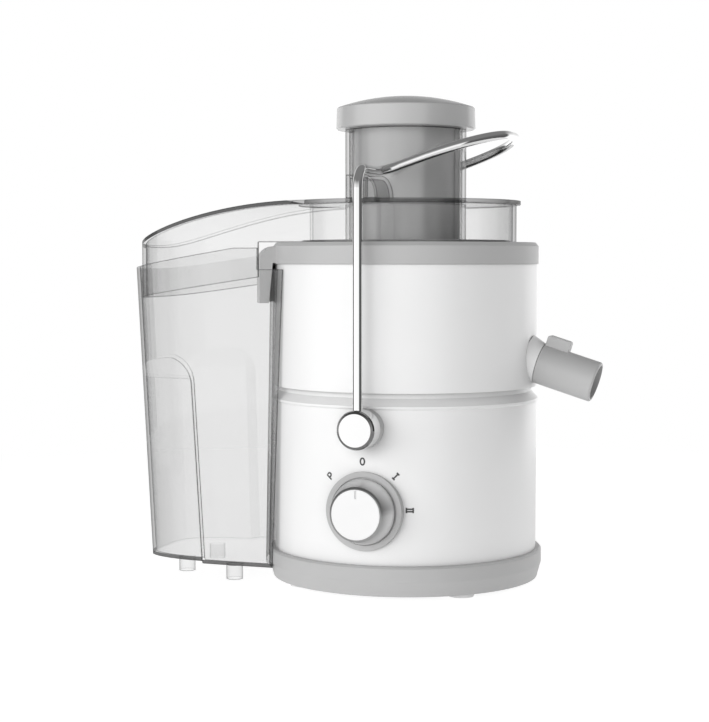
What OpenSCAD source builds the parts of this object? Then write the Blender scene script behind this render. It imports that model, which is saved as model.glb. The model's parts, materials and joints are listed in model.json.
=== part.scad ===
// Centrifugal juice extractor. The spin axis is the Z axis, the table is the plane z = 0,
// the spout points along +X, the pulp bin hangs at -X and the dial faces -Y.

/* [Body] */
// Outer radius of the motor housing and of the collector shell
body_r = 87; // [85:0.5:89]
// Wall of the moulded housings
wall = 2.6; // [2.2:0.1:3.2]
// Height of the rubber feet
foot_h = 3; // [2.5:0.5:5]
// Diameter of each rubber foot
foot_d = 18; // [14:1:19]
// Height of the grey base ring
base_h = 19; // [16:1:22]
// How far the base ring stands out past the housing
base_out = 3.7; // [2.5:0.1:4.5]
// Height of the motor housing above the base ring
housing_h = 99.8; // [98:0.2:104]
// Height of the groove between the housing and the collector
groove_h = 7.7; // [6:0.1:10]
// Height of the collector shell
shell_h = 80; // [76:1:90]
// Height of the grey ring on top of the collector
ring_h = 14; // [12:0.5:16]

/* [Lid and chute] */
// Height of the lid above the ring
lid_h = 27.2; // [25:0.2:30]
// Wall of the lid
lid_wall = 2.4; // [1.8:0.1:2.8]
// Inner radius of the feed chute
chute_r = 37.5; // [36:0.5:38]
// Wall of the feed chute
chute_wall = 2.5; // [2:0.1:3]
// Height of the chute above the lid
chute_h = 47; // [44:1:52]
// How far the roof over the pulp bin falls to its far end
roof_drop = 30; // [24:1:34]
// How deep the skirt of the roof reaches into the bin
skirt_depth = 20; // [14:1:24]

/* [Pusher] */
// Outer radius of the pusher tube
pusher_r = 34; // [32:0.5:35]
// Radius of the pusher cap
cap_r = 46; // [44:0.5:47]
// Height of the cap's side
cap_h = 14.3; // [12:0.1:16]
// Rise of the cap's dome
dome_h = 7.5; // [6:0.5:10]

/* [Basket] */
// Radius of the grater disc
grater_r = 43; // [42:0.5:45]
// Radius of the strainer at its rim
strainer_r = 66; // [64:0.5:67]
// Height of the strainer cone
strainer_h = 70; // [64:1:71]
// Rings of teeth on the grater disc
tooth_rings = 5; // [3:1:6]

/* [Motor] */
// Radius of the motor shaft
shaft_r = 4; // [3:0.5:4.5]
// Outer radius of the stator stack
stator_r = 44; // [42:0.5:45]
// Height of the stator stack
stack_h = 34; // [28:1:34]
// Radius of the cooling fan
fan_r = 41; // [36:1:42]
// Blades of the cooling fan
fan_blades = 11; // [7:1:13]

/* [Pulp bin] */
// Distance from the spin axis to the far end of the bin's rim
bin_reach = 186.4; // [182:0.1:190]
// Half width of the bin at its rim
bin_half = 60; // [58:0.5:61]
// How far each side of the bin draws in towards its floor
bin_taper_y = 8; // [5:0.5:10]
// How far the far end of the bin draws in towards its floor
bin_taper_x = 9.2; // [8:0.1:16]
// Wall of the bin
bin_wall = 2; // [1.6:0.1:2.4]
// Height of the pegs under the bin
peg_h = 10; // [9:0.5:12]
// Diameter of each peg
peg_d = 11; // [8:0.5:12]
// Depth of the grip recess in each side of the bin
grip_d = 8; // [5:0.5:10]

/* [Bail] */
// Thickness of the bail wire
wire_d = 6; // [5:0.5:6.5]
// How far the bail's pivots lie below the top of the housing
pivot_drop = 13.8; // [12:0.1:18]
// Diameter of the hubs at the pivots
hub_d = 24.5; // [22:0.5:27]
// How far each arm of the bail stands out from the housing
arm_out = 13; // [12:0.5:15]
// Half width of the bail's handle loop
loop_half = 50; // [49:0.5:52]
// Length of the handle loop along its own slope
loop_len = 75.5; // [72:0.1:90]
// Slope of the handle loop
loop_tilt = 18.6; // [12:0.1:24]

/* [Dial] */
// Height of the dial's centre
dial_z = 56; // [50:0.5:62]
// Diameter of the dial's bezel
bezel_d = 49.5; // [44:0.5:52]
// Diameter of the knob at its base
knob_d = 41; // [36:0.5:42]
// Diameter of the knob at its face
knob_face_d = 32.4; // [28:0.2:35]
// How far the knob stands out of its bezel
knob_h = 15.4; // [12:0.2:18]

/* [Spout] */
// Outer diameter of the turning spout
spout_d = 26.5; // [25:0.1:28]
// Length of the turning spout
spout_len = 38.6; // [34:0.1:44]
// Downward slope of the spout
spout_tilt = 17.5; // [12:0.5:20]

/* [Hidden] */
$fn = 96;
eps = 0.01;
big = 400;
white = [0.95, 0.95, 0.95];
grey = [0.70, 0.70, 0.71];
clear = [0.85, 0.88, 0.90, 0.35];
steel = [0.75, 0.76, 0.78];

// Clearance of a turning or sliding fit, of a part beside a moving one and of a loose seat
run_gap = 0.05;
move_gap = 0.3;
seat_gap = 0.2;
lid_gap = 0.6;

// Levels of the stack, from the table up
plate_t = 3;
plate_top = foot_h + plate_t;
base_top = foot_h + base_h;
housing_top = base_top + housing_h;
seat_top = housing_top + groove_h;
shell_top = seat_top + shell_h;
ring_top = shell_top + ring_h;
lid_top = ring_top + lid_h;
chute_top = lid_top + chute_h;
cap_z = chute_top + move_gap;

// Base and housing
inner_r = body_r - wall;
base_r = body_r + base_out;
ledge_w = 3.4;
boss_r = 4.5;
foot_ring_r = inner_r - foot_d / 2;
screw_ring_r = inner_r - ledge_w - boss_r - 2.5;
screw_angle = 15;
screw_r = 1.75;
screw_grip = 14;
screw_head_r = 3.4;
screw_head_h = 1.8;
boss_h = 38;
vent_count = 24;
vent_in = 18;
vent_l = 20;
vent_w = 2.6;
peg_r = 3.5;
deck_t = 3;
lip_out = 0.8;
lip_h = 2.6;
groove_slope = 4.4;
spigot_r = body_r - 3.5;
seal_r = 9;
gland_r = 8;
gland_z = base_top + 20;

// Motor: pillars, brackets, bearings and windings
bearing_r = 11;
bearing_h = 7;
cup_wall = 3.5;
deck_gap = 4.3;
upper_pocket_z = housing_top - deck_t - deck_gap - bearing_h;
upper_z = upper_pocket_z - 1.5;
commutator_h = 10;
commutator_z = upper_z - 3 - commutator_h;
stack_top = commutator_z - 9;
stack_z = stack_top - stack_h;
bracket_t = 4;
bracket_z = stack_z - 17 - bracket_t;
bracket_over = 8;
arm_w = 14;
mount_h = 5;
mount_r = 7;
pillar_ring_r = 50;
pillar_r = 5;
pillar_h = bracket_z - mount_h - plate_top;
pin_r = 2.9;
post_ring_r = 39.5;
post_r = 4;
stator_bore = 28;
coil_h = 7.5;
coil_out = 34.8;
coil_in = 29.6;
rotor_r = stator_bore - 0.6;
slot_count = 12;
commutator_r = 12;
brush_l = 16;
brush_w = 6;
holder_wall = 1.5;
fan_z = plate_top + 5;
fan_h = bracket_z - fan_z - 4;
fan_disc_t = 2;
fan_hub_r = 9;
blade_t = 1.6;
blade_lean = 14;
coupling_z = seat_top + 1;
coupling_h = 18;
coupling_r = 9;
shaft_top = coupling_z + coupling_h;

// Collector, bowl and basket
bowl_r = inner_r - 2.4;
bowl_wall = 2;
bowl_floor = seat_top + 7;
bowl_slope_r = 40;
hub_in = 13;
hub_wall = 2.4;
hub_top = shaft_top - 3;
rim_w = 3;
rim_h = 6;
basket_gap = 1.3;
ring_in = strainer_r + rim_w + basket_gap;
lid_r = ring_in + lid_wall + lid_gap;
basket_z = shaft_top + 3;
disc_t = 2.5;
skirt_in = hub_in + hub_wall + 1.2;
skirt_drop = 9;
skirt_t = 1.6;
coupling_grip = 12;
tooth_in = 9;
tooth_margin = 6;
tooth_w = 2.6;
tooth_h = 1.7;
tooth_t = 1;
strainer_z = basket_z + disc_t;
strainer_top = strainer_z + strainer_h;
mesh_t = 0.8;
chute_bottom = strainer_z + 9;

// The lip of the collector ring that reaches over the bin's wall
lip_angle = 33;
lip_out_r = body_r + 11.8;
lip_t = 6.2;
lip_root_t = 8.8;
lip_in_r = lip_out_r - lip_t;
lip_bottom = ring_top - 39.5;
lip_top = ring_top - 2.5;
slot_top = shell_top + 0.5;
lip_round = 10;

// Bin: levels, plan outline and the wall round the body
bin_z = peg_h;
bin_wall_top = slot_top - 4;
rim_low = ring_top - 17.5;
rim_high = ring_top - 3.5;
bin_mid = -100;
bin_power = 3;
bin_near_top = body_r + 0.7;
bin_near_floor = base_r + 0.6;
rim_clear_r = lip_out_r + 2.7;
outline_steps = 40;
grip_x = -130;
grip_top = 148;
grip_fall = 15;
grip_lean = 0.5;
grip_flare = 8;
grip_fade = 3;
grip_block = 34;
grip_round = 20;
peg_near = [-105, 45];
peg_far = [-148, 26];

// Roof of the lid over the bin
skirt_far_z = rim_low - skirt_depth;
skirt_near_z = rim_high - skirt_depth + 2;
roof_x = -50;
skirt_x = -75;
roof_steps = 20;
ear_x0 = -17;
ear_x1 = 3.6;
ear_mid = -4;
ear_out = lid_r - 1;
lid_lip_h = 2.5;
lid_lip_out = 2.7;
ear_wall = 2;

// Bail
wire_r = wire_d / 2;
arm_y = body_r + arm_out;
pivot_z = housing_top - pivot_drop;
bail_top = lid_top + 17.3;
bend_r = 12;
corner_r = 44;
ear_top = bail_top - wire_r + 0.4;
boss_y = body_r + 5;
hub_y = boss_y + move_gap;
hub_end = arm_y + 6;
pivot_r = 4;
pivot_end = arm_y + 1;
wire_start = pivot_z + pivot_r + 1;

// Dial
bezel_y = body_r + 1.5;
knob_y = bezel_y + 0.4;
knob_end = knob_y + knob_h;
face_t = 0.8;
spindle_r = 3;
spindle_bore_r = 6.5;
groove_w = 1.6;
groove_t = 0.8;
pointer_w = 0.9;
pointer_l = 5;
switch_w = 24;
switch_d = 20;
switch_h = 26;
switch_y = inner_r - 5;

// Spout
spout_x = body_r + 4.5;
spout_z = seat_top + 15.5;
spout_r = spout_d / 2;
stub_r = spout_r - 2;
stub_wall = 1.7;
stub_len = 12;
stub_back = 15;
root_r = spout_r + 2.2;
gate_t = 2;
sleeve_round = 1.2;
tab_x = 0.4;
tab_l = 15.6;
tab_w = 8;
tab_h = 6.4;
tab_round = 1.6;

// Feed pusher
pusher_wall = 2.4;
pusher_rib = chute_r - 0.4;
rib_t = 2.4;
pusher_bottom = chute_bottom + 3;

// Plain tube between two levels
module tube(r_out, r_in, z0, z1) {
    translate([0, 0, z0]) difference() {
        cylinder(r = r_out, h = z1 - z0);
        translate([0, 0, -eps]) cylinder(r = r_in, h = z1 - z0 + 2 * eps);
    }
}

// Children placed round the Z axis at one radius
module around(count, radius, start = 0) {
    for (i = [0 : count - 1]) rotate([0, 0, start + 360 * i / count]) translate([radius, 0, 0]) children();
}

// Children turned so that their +Z axis points out of the front or the back
module facing(side) {
    rotate([side < 0 ? 90 : -90, 0, 0]) children();
}

// Outline of the bin or of the roof: square at the body, a superellipse at the far end
function tongue(far, half, near = -40) = concat(
    [[near, -half]],
    [for (i = [0 : outline_steps]) let (a = -90 + 180 * i / outline_steps)
        [bin_mid - (far + bin_mid) * pow(abs(cos(a)), 2 / bin_power),
         half * sign(sin(a)) * pow(abs(sin(a)), 2 / bin_power)]],
    [[near, half]]);

// Reach and half width of the bin's outside at a level
function bin_far(z) = bin_reach - bin_taper_x * (rim_low - z) / (rim_low - bin_z);
function bin_side(z) = bin_half - bin_taper_y * (rim_low - z) / (rim_low - bin_z);

// Solid between the same tongue outline at two levels, its sides squeezed in by an amount at each level
module tapered_tongue(z0, z1, inset, squeeze = [0, 0]) {
    long = squeeze[0] > 0 ? grip_fade : 0;
    low = tongue(bin_far(z0) - inset + long, bin_side(z0) - inset - squeeze[0]);
    high = tongue(bin_far(z1) - inset + long, bin_side(z1) - inset - squeeze[1]);
    n = len(low);
    polyhedron(
        points = concat([for (p = low) [p[0], p[1], z0]], [for (p = high) [p[0], p[1], z1]]),
        faces = concat([[for (i = [n - 1 : -1 : 0]) i]], [[for (i = [0 : n - 1]) n + i]],
            [for (i = [0 : n - 1]) [i, (i + 1) % n, n + (i + 1) % n]],
            [for (i = [0 : n - 1]) [i, n + (i + 1) % n, n + i]]));
}

// Side profile extruded along Y over a width
module side_profile(points, y0, y1) {
    translate([0, y1, 0]) rotate([90, 0, 0]) linear_extrude(y1 - y0) polygon(points);
}

module base_plate() {
    color(grey) difference() {
        union() {
            translate([0, 0, foot_h]) cylinder(r = inner_r - seat_gap, h = plate_t);
            around(4, screw_ring_r, screw_angle)
                translate([0, 0, plate_top - eps]) cylinder(r = boss_r, h = base_top - plate_top + eps);
            around(4, pillar_ring_r, 45) translate([0, 0, plate_top - eps]) {
                cylinder(r = pillar_r, h = pillar_h + eps);
                cylinder(r = pin_r, h = pillar_h + mount_h + bracket_t);
            }
        }
        around(4, screw_ring_r, screw_angle) translate([0, 0, foot_h - 1]) {
            cylinder(r = screw_r + 0.1, h = base_h + 2);
            cylinder(r = screw_head_r + seat_gap, h = screw_head_h + 1.2);
        }
        around(4, foot_ring_r, 45) translate([0, 0, foot_h - 1]) cylinder(r = peg_r, h = plate_t + 2);
        around(vent_count, vent_in) translate([0, -vent_w / 2, foot_h - 1])
            cube([vent_l, vent_w, plate_t + 2]);
    }
}

module base_ring() {
    color(grey) rotate_extrude() polygon([
        [inner_r, foot_h], [base_r - 2.6, foot_h], [base_r, foot_h + base_h / 2], [base_r, base_top - 1.2],
        [base_r - 1.2, base_top], [inner_r, base_top], [inner_r, plate_top + 3],
        [inner_r - ledge_w, plate_top + 3], [inner_r - ledge_w, plate_top], [inner_r, plate_top]]);
}

module rubber_feet() {
    color([0.85, 0.85, 0.85]) around(4, foot_ring_r, 45) {
        cylinder(d1 = foot_d - 2, d2 = foot_d, h = foot_h);
        translate([0, 0, foot_h - eps]) cylinder(r = peg_r, h = plate_t + 1);
    }
}

module base_screws() {
    slot_l = 1.3 * screw_head_r;
    slot_w = 0.8;
    color(steel) around(4, screw_ring_r, screw_angle) translate([0, 0, foot_h + 2]) {
        translate([0, 0, -screw_head_h]) difference() {
            cylinder(r = screw_head_r, h = screw_head_h);
            for (turn = [0, 90]) rotate([0, 0, turn])
                translate([-slot_l / 2, -slot_w / 2, -1]) cube([slot_l, slot_w, screw_head_h]);
        }
        translate([0, 0, -eps]) cylinder(r = screw_r, h = base_h - 2 + screw_grip);
    }
}

module motor_housing() {
    color(white) difference() {
        union() {
            rotate_extrude() polygon([
                [inner_r, base_top], [body_r, base_top], [body_r, housing_top - lip_h],
                [body_r + lip_out, housing_top - lip_h + 1], [body_r + lip_out, housing_top - 0.3],
                [body_r + lip_out - 0.4, housing_top], [spigot_r, housing_top + groove_slope],
                [spigot_r, seat_top], [spigot_r - wall, seat_top],
                [spigot_r - wall, housing_top], [seal_r, housing_top], [seal_r, housing_top - deck_t],
                [inner_r, housing_top - deck_t]]);
            around(4, screw_ring_r, screw_angle) {
                translate([0, 0, base_top]) cylinder(r = boss_r, h = boss_h);
                translate([0, -1, base_top + 4]) cube([inner_r - screw_ring_r + 1, 2, boss_h - 4]);
            }
        }
        around(4, screw_ring_r, screw_angle)
            translate([0, 0, base_top - 1]) cylinder(r = screw_r + 0.1, h = screw_grip + 4);
        translate([0, 0, dial_z]) facing(-1) translate([0, 0, body_r - 10])
            cylinder(r = spindle_bore_r, h = 20);
        translate([0, 0, gland_z]) facing(1) translate([0, 0, body_r - 10]) cylinder(r = gland_r, h = 20);
        for (side = [-1, 1]) translate([0, 0, pivot_z]) facing(side)
            translate([0, 0, body_r - 10]) cylinder(r = pivot_r, h = 20);
    }
}

// Sleeve in the back wall where a lead enters, with a flange on each side of the wall
module cord_gland() {
    color([0.6, 0.6, 0.6]) translate([0, 0, gland_z]) facing(1) difference() {
        union() {
            translate([0, 0, inner_r - 6]) cylinder(r = gland_r, h = wall + 11);
            difference() {
                translate([0, 0, body_r - 6]) cylinder(r1 = gland_r + 2.5, r2 = gland_r + 1.5, h = 8.5);
                rotate([-90, 0, 0]) translate([0, 0, -big / 2]) cylinder(r = body_r, h = big);
            }
            translate([0, 0, inner_r - 8]) cylinder(r = gland_r + 2, h = 4);
        }
        translate([0, 0, inner_r - 10]) cylinder(r = 3.8, h = 24);
    }
}

module motor_mounts() {
    color([0.2, 0.2, 0.2]) around(4, pillar_ring_r, 45) tube(mount_r, pin_r, plate_top + pillar_h, bracket_z);
}

// Cross of four arms round a bearing cup
module bearing_bracket(z, cup_h, pocket, reach) {
    difference() {
        union() {
            translate([0, 0, z]) for (i = [0, 90]) rotate([0, 0, 45 + i])
                translate([-reach, -arm_w / 2, 0]) cube([2 * reach, arm_w, bracket_t]);
            translate([0, 0, z]) cylinder(r = bearing_r + cup_wall, h = cup_h);
        }
        translate([0, 0, pocket]) cylinder(r = bearing_r, h = cup_h + 1);
        translate([0, 0, z - 1]) cylinder(r = shaft_r + 2, h = cup_h + 2);
    }
}

module lower_bracket() {
    cup_z = bracket_z + bracket_t;
    color(steel) difference() {
        union() {
            bearing_bracket(bracket_z, bracket_t + bearing_h, cup_z, pillar_ring_r + bracket_over);
            around(4, post_ring_r, 45) translate([0, 0, cup_z - eps])
                cylinder(r = post_r, h = stack_z - cup_z + eps);
        }
        around(4, pillar_ring_r, 45) translate([0, 0, bracket_z - 1])
            cylinder(r = pin_r + 0.1, h = bracket_t + 2);
    }
}

module upper_bracket() {
    color(steel) {
        bearing_bracket(upper_z, upper_pocket_z + bearing_h - upper_z, upper_pocket_z, post_ring_r + 5);
        around(4, post_ring_r, 45) translate([0, 0, stack_top])
            cylinder(r = post_r, h = upper_z - stack_top + eps);
    }
}

// Lamination stack with four flats and two poles' worth of bore
module stator_core() {
    color([0.45, 0.46, 0.48]) difference() {
        intersection() {
            translate([0, 0, stack_z]) cylinder(r = stator_r, h = stack_h);
            translate([-stator_r + 3, -stator_r + 3, stack_z])
                cube([2 * stator_r - 6, 2 * stator_r - 6, stack_h]);
        }
        translate([0, 0, stack_z - 1]) cylinder(r = stator_bore, h = stack_h + 2);
    }
}

module field_coils() {
    color([0.72, 0.42, 0.2]) {
        tube(coil_out, coil_in, stack_z - coil_h, stack_z);
        tube(coil_out, coil_in, stack_top, stack_top + coil_h);
    }
}

module ball_bearing(z) {
    tube(bearing_r, shaft_r + run_gap, z, z + bearing_h);
}

module lower_bearing() {
    color(steel) ball_bearing(bracket_z + bracket_t);
}

module upper_bearing() {
    color(steel) ball_bearing(upper_pocket_z);
}

// Box tubes that guide the brushes, hung from the upper bracket
module brush_holders() {
    side = brush_w + 2 * holder_wall;
    mid = commutator_z + commutator_h / 2;
    color([0.78, 0.62, 0.3]) for (i = [0, 1]) rotate([0, 0, 45 + 180 * i]) difference() {
        union() {
            translate([commutator_r + 2, -side / 2, mid - side / 2]) cube([brush_l + 2, side, side]);
            translate([commutator_r + 6, -side / 2, mid]) cube([8, side, upper_z - mid]);
        }
        translate([commutator_r, -brush_w / 2, mid - brush_w / 2]) cube([brush_l + 6, brush_w, brush_w]);
    }
}

module carbon_brushes() {
    mid = commutator_z + commutator_h / 2;
    color([0.15, 0.15, 0.15]) for (i = [0, 1]) rotate([0, 0, 45 + 180 * i])
        translate([commutator_r + move_gap, -brush_w / 2, mid - brush_w / 2])
            cube([brush_l, brush_w, brush_w]);
}

module shaft_seal() {
    color([0.2, 0.2, 0.2]) tube(seal_r, shaft_r + run_gap, housing_top - deck_t, housing_top + 1);
}

module motor_shaft() {
    color(steel) translate([0, 0, fan_z - 1]) cylinder(r = shaft_r, h = shaft_top - fan_z + 1);
}

module armature_core() {
    color([0.45, 0.46, 0.48]) difference() {
        tube(rotor_r, shaft_r, stack_z, stack_top);
        around(slot_count, rotor_r - 7) translate([0, -1.2, stack_z - 1]) cube([8, 2.4, stack_h + 2]);
    }
}

module armature_windings() {
    color([0.72, 0.42, 0.2]) {
        tube(rotor_r - 3, shaft_r, stack_z - 6, stack_z);
        tube(rotor_r - 3, shaft_r, stack_top, stack_top + 6);
    }
}

module commutator() {
    color([0.78, 0.48, 0.28]) difference() {
        tube(commutator_r, shaft_r, stack_top + 6, commutator_z + commutator_h);
        around(slot_count, commutator_r - 1) translate([0, -0.4, commutator_z - 1])
            cube([2, 0.8, commutator_h + 2]);
    }
}

module cooling_fan() {
    color([0.25, 0.27, 0.3]) difference() {
        union() {
            translate([0, 0, fan_z]) cylinder(r = fan_hub_r, h = fan_h - fan_disc_t);
            translate([0, 0, fan_z + fan_h - fan_disc_t]) cylinder(r = fan_r, h = fan_disc_t);
            around(fan_blades, fan_hub_r - 1, 12) rotate([0, 0, blade_lean])
                translate([0, -blade_t / 2, fan_z + 1])
                    cube([fan_r - fan_hub_r - 1, blade_t, fan_h - fan_disc_t - 1]);
        }
        translate([0, 0, fan_z - 1]) cylinder(r = shaft_r, h = fan_h + 2);
    }
}

// Splined dog on the shaft that turns the basket
module drive_coupling() {
    color([0.3, 0.3, 0.32]) difference() {
        union() {
            translate([0, 0, coupling_z]) cylinder(r = coupling_r - 1.2, h = coupling_h);
            around(6, coupling_r - 2) translate([0, -1.5, coupling_z]) cube([2, 3, coupling_h]);
        }
        translate([0, 0, coupling_z - 1]) cylinder(r = shaft_r, h = coupling_h + 2);
    }
}

module switch_body() {
    color([0.25, 0.25, 0.26]) translate([0, 0, dial_z]) facing(-1) difference() {
        union() {
            translate([-switch_w / 2, -switch_h / 2, switch_y - switch_d])
                cube([switch_w, switch_h, switch_d]);
            translate([0, 0, switch_y - 1]) cylinder(r = spindle_r + 3.3, h = body_r - switch_y);
        }
        translate([0, 0, switch_y - switch_d + 4]) cylinder(r = spindle_r + run_gap, h = big);
    }
}

module switch_spindle() {
    color(steel) translate([0, 0, dial_z]) facing(-1)
        translate([0, 0, switch_y - switch_d + 4.3])
            cylinder(r = spindle_r, h = knob_end - 3 - switch_y + switch_d - 4.3);
}

// Switch that only lets the motor run with the bail closed, beside the back pivot
module safety_switch() {
    color([0.2, 0.2, 0.22]) translate([8, inner_r - 12, pivot_z - 14]) {
        cube([20, 7, 10]);
        translate([1, 1, 10 - eps]) cube([9, 1.2, 2.2]);
    }
}

module dial_bezel() {
    color(grey) translate([0, 0, dial_z]) facing(-1) difference() {
        translate([0, 0, body_r - 6]) cylinder(d = bezel_d, h = bezel_y - body_r + 6);
        rotate([-90, 0, 0]) translate([0, 0, -big / 2]) cylinder(r = body_r, h = big, $fn = 720);
        cylinder(r = spindle_bore_r, h = big);
        translate([0, 0, bezel_y - groove_t]) difference() {
            cylinder(d = knob_d + groove_w, h = big);
            translate([0, 0, -1]) cylinder(d = knob_d - groove_w, h = big);
        }
    }
}

// Cone-shaped knob with a hollow back
module knob() {
    color(steel) translate([0, 0, dial_z]) facing(-1) difference() {
        translate([0, 0, knob_y]) rotate_extrude() polygon([
            [0, 0], [knob_d / 2 - 0.6, 0], [knob_d / 2, 0.6], [knob_d / 2, 2],
            [knob_face_d / 2 + 1, knob_h - 1.5],
            [knob_face_d / 2, knob_h - 0.6], [knob_face_d / 2 - 0.6, knob_h - 0.4],
            [knob_face_d / 2 - 0.6, knob_h - face_t], [0, knob_h - face_t]]);
        translate([0, 0, knob_y - 1]) difference() {
            cylinder(r1 = knob_d / 2 - 2.5, r2 = knob_face_d / 2 - 3, h = knob_h - 2.5);
            cylinder(r = spindle_r + 3, h = knob_h);
        }
        cylinder(r = spindle_r, h = knob_end - 3);
    }
}

module knob_face() {
    color(white) translate([0, 0, dial_z]) facing(-1)
        translate([0, 0, knob_end - face_t]) difference() {
            cylinder(d = knob_face_d - 1.2, h = face_t);
            translate([-pointer_w / 2, knob_face_d / 2 - 1.2 - pointer_l, face_t / 2])
                cube([pointer_w, pointer_l, face_t]);
        }
}

module pivot_bosses() {
    color(grey) difference() {
        for (side = [-1, 1]) translate([0, 0, pivot_z]) facing(side) difference() {
            translate([0, 0, body_r - 3]) cylinder(d1 = hub_d + 1, d2 = hub_d, h = boss_y - body_r + 3);
            cylinder(r = pivot_r, h = big);
        }
        cylinder(r = body_r, h = housing_top);
        translate([0, 0, housing_top - lip_h]) cylinder(r = body_r + lip_out, h = big);
    }
}

module pivot_pins() {
    color(steel) for (side = [-1, 1]) translate([0, 0, pivot_z]) facing(side) {
        translate([0, 0, inner_r - 6]) cylinder(r = pivot_r, h = pivot_end - inner_r + 6);
        translate([0, 0, inner_r - 6]) cylinder(r = pivot_r + 2.5, h = 2.5);
    }
}

// One side of the bail: the upright, its bend inwards, its bend into the loop and the loop's corner
module bail_side(side) {
    inner_y = loop_half + bend_r;
    translate([0, side * arm_y, wire_start]) cylinder(r = wire_r, h = bail_top - bend_r - wire_start);
    translate([0, side * (arm_y - bend_r), bail_top - bend_r]) rotate([0, -90, 0])
        rotate([0, 0, side > 0 ? 0 : -90])
        rotate_extrude(angle = 90) translate([bend_r, 0]) circle(r = wire_r);
    translate([0, side * (arm_y - bend_r), bail_top]) rotate([side * 90, 0, 0])
        cylinder(r = wire_r, h = arm_y - bend_r - inner_y);
    translate([0, side * inner_y, bail_top]) sphere(r = wire_r + run_gap);
    translate([0, 0, bail_top]) rotate([0, -loop_tilt, 0]) {
        translate([bend_r, side * inner_y, 0]) rotate([0, 0, side > 0 ? 180 : 90])
            rotate_extrude(angle = 90) translate([bend_r, 0]) circle(r = wire_r);
        translate([bend_r, side * loop_half, 0]) rotate([0, 90, 0])
            cylinder(r = wire_r, h = loop_len - corner_r - bend_r);
        translate([loop_len - corner_r, side * (loop_half - corner_r), 0]) rotate([0, 0, side > 0 ? 0 : -90])
            rotate_extrude(angle = 90) translate([corner_r, 0]) circle(r = wire_r);
    }
}

module bail_rod() {
    color(steel) {
        bail_side(-1);
        bail_side(1);
        translate([0, 0, bail_top]) rotate([0, -loop_tilt, 0])
            translate([loop_len, corner_r - loop_half, 0]) rotate([-90, 0, 0])
                cylinder(r = wire_r, h = 2 * (loop_half - corner_r));
    }
}

module bail_hub_caps() {
    color(steel) for (side = [-1, 1]) difference() {
        translate([0, 0, pivot_z]) facing(side) translate([0, 0, hub_y]) rotate_extrude() polygon([
            [0, 0], [hub_d / 2, 0], [hub_d / 2, hub_end - hub_y - 2],
            [hub_d / 2 - 0.6, hub_end - hub_y - 0.6],
            [hub_d / 2 - 2, hub_end - hub_y], [0, hub_end - hub_y]]);
        translate([0, 0, pivot_z]) facing(side) cylinder(r = pivot_r + run_gap, h = pivot_end + move_gap);
        translate([0, side * arm_y, wire_start]) cylinder(r = wire_r, h = hub_d);
    }
}

module spout_frame() {
    translate([spout_x, 0, spout_z]) rotate([0, 90 + spout_tilt, 0]) children();
}

module collector_shell() {
    color(white) difference() {
        rotate_extrude() polygon([
            [bowl_r + move_gap, seat_top], [body_r, seat_top], [body_r, shell_top], [inner_r, shell_top],
            [inner_r, seat_top + 3], [bowl_r + move_gap, seat_top + 3]]);
        spout_frame() translate([0, 0, -20]) cylinder(r = stub_r, h = 30);
    }
}

// Lip that hangs over the bin's wall, as a profile turned through a short angle
module pulp_lip() {
    rotate([0, 0, 180 - lip_angle]) rotate_extrude(angle = 2 * lip_angle) polygon(concat(
        [[body_r - 1, slot_top], [lip_out_r - lip_root_t, slot_top], [lip_in_r, lip_bottom],
         [lip_out_r, lip_bottom]],
        [for (i = [0 : 6]) [lip_out_r - lip_round + lip_round * cos(15 * i),
            lip_top - lip_round + lip_round * sin(15 * i)]],
        [[body_r - 1, lip_top]]));
}

module collector_ring() {
    color(grey) union() {
        rotate_extrude() polygon([
            [inner_r, shell_top], [body_r + 1, shell_top], [body_r + 1, lip_top], [body_r - 1, ring_top],
            [ring_in, ring_top], [ring_in, ring_top - 3], [inner_r, ring_top - 3]]);
        pulp_lip();
    }
}

// Open bowl that gathers the juice, with a raised tube round the coupling
module juice_bowl() {
    floor_low = bowl_floor - bowl_wall;
    color(grey) difference() {
        rotate_extrude() polygon([
            [hub_in, floor_low + 5], [bowl_slope_r, floor_low], [bowl_r - bowl_wall, floor_low],
            [bowl_r - bowl_wall, seat_top],
            [bowl_r, seat_top], [bowl_r, shell_top - 3], [inner_r - seat_gap, shell_top - 3],
            [inner_r - seat_gap, shell_top], [bowl_r - bowl_wall, shell_top],
            [bowl_r - bowl_wall, bowl_floor],
            [bowl_slope_r, bowl_floor], [hub_in + hub_wall, bowl_floor + 5], [hub_in + hub_wall, hub_top],
            [hub_in, hub_top]]);
        spout_frame() translate([0, 0, -20]) cylinder(r = stub_r, h = 30);
    }
}

// Half of a disc, which closes the upper half of the spout
module half_gate(r) {
    difference() {
        cylinder(r = r, h = gate_t);
        translate([1, -r, -1]) cube([r, 2 * r, gate_t + 2]);
    }
}

module spout_stub() {
    color(grey) spout_frame() {
        difference() {
            union() {
                translate([0, 0, -stub_back]) cylinder(r = stub_r - run_gap, h = stub_back + stub_len);
                difference() {
                    translate([0, 0, -9]) cylinder(r1 = root_r + 0.6, r2 = spout_r, h = 9 - move_gap);
                    rotate([0, -90 - spout_tilt, 0]) translate([-spout_x, 0, -big / 2])
                        cylinder(r = body_r, h = big);
                }
            }
            translate([0, 0, -stub_back - 1]) cylinder(r = stub_r - stub_wall, h = big);
        }
        translate([0, 0, stub_len - gate_t]) half_gate(stub_r - stub_wall + eps);
    }
}

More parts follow.
